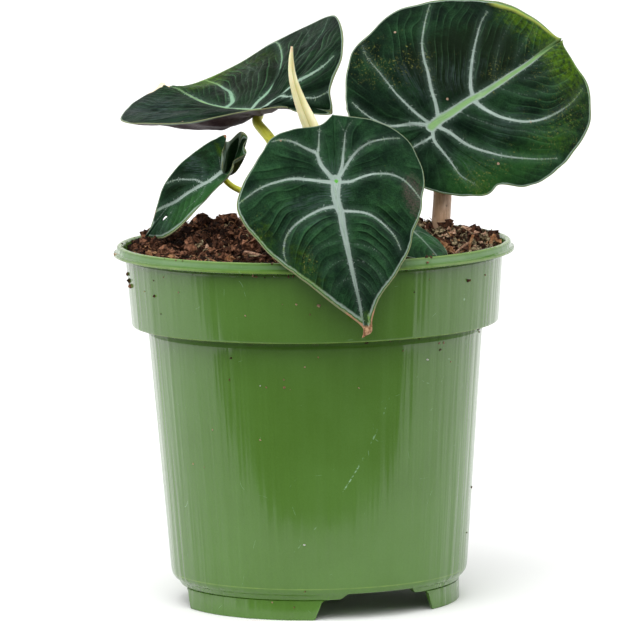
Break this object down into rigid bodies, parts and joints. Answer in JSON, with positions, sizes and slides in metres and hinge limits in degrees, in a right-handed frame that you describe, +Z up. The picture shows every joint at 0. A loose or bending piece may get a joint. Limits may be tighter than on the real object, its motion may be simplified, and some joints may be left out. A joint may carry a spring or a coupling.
{
  "type": "potted alocasia plant",
  "caption": "Small velvet-leaved alocasia with pale-veined dark leaves on bent stalks, in a round green plastic nursery pot with a tall collar, feet and dark soil.",
  "frame": {"origin": "centre of the bounding box of the whole plant, on the plane that the pot's feet stand on", "axes": "+Z up, from the pot's feet to the leaves; -Y towards the viewer of the picture, the side that the front leaf hangs over; +X to the viewer's right"},
  "size_m": [0.1452, 0.137, 0.1779],
  "materials": {
    "pot": "semi-gloss mid green, lightly scratched, with specks of soil",
    "soil": "matt dark brown peat and coco fibre crumbs with a few orange chips",
    "leaf": "velvety near-black green above with silvery pale green veins, duller below",
    "green_stalk": "smooth yellow-green to olive",
    "tan_stalk": "dull pinkish tan with long fine streaks",
    "rolled_leaf": "smooth cream to pale yellow-green with a tan tip"
  },
  "bodies": {
    "root": {"pot": "pot", "soil": "soil", "front_blade": "leaf", "right_blade": "leaf", "left_blade": "leaf", "young_left_blade": "leaf", "young_right_blade": "leaf", "rolled_leaf": "rolled_leaf", "front_stalk": "green_stalk", "right_stalk": "tan_stalk", "left_stalk": "green_stalk", "young_left_stalk": "green_stalk", "young_right_stalk": "green_stalk"}
  },
  "joints": []
}
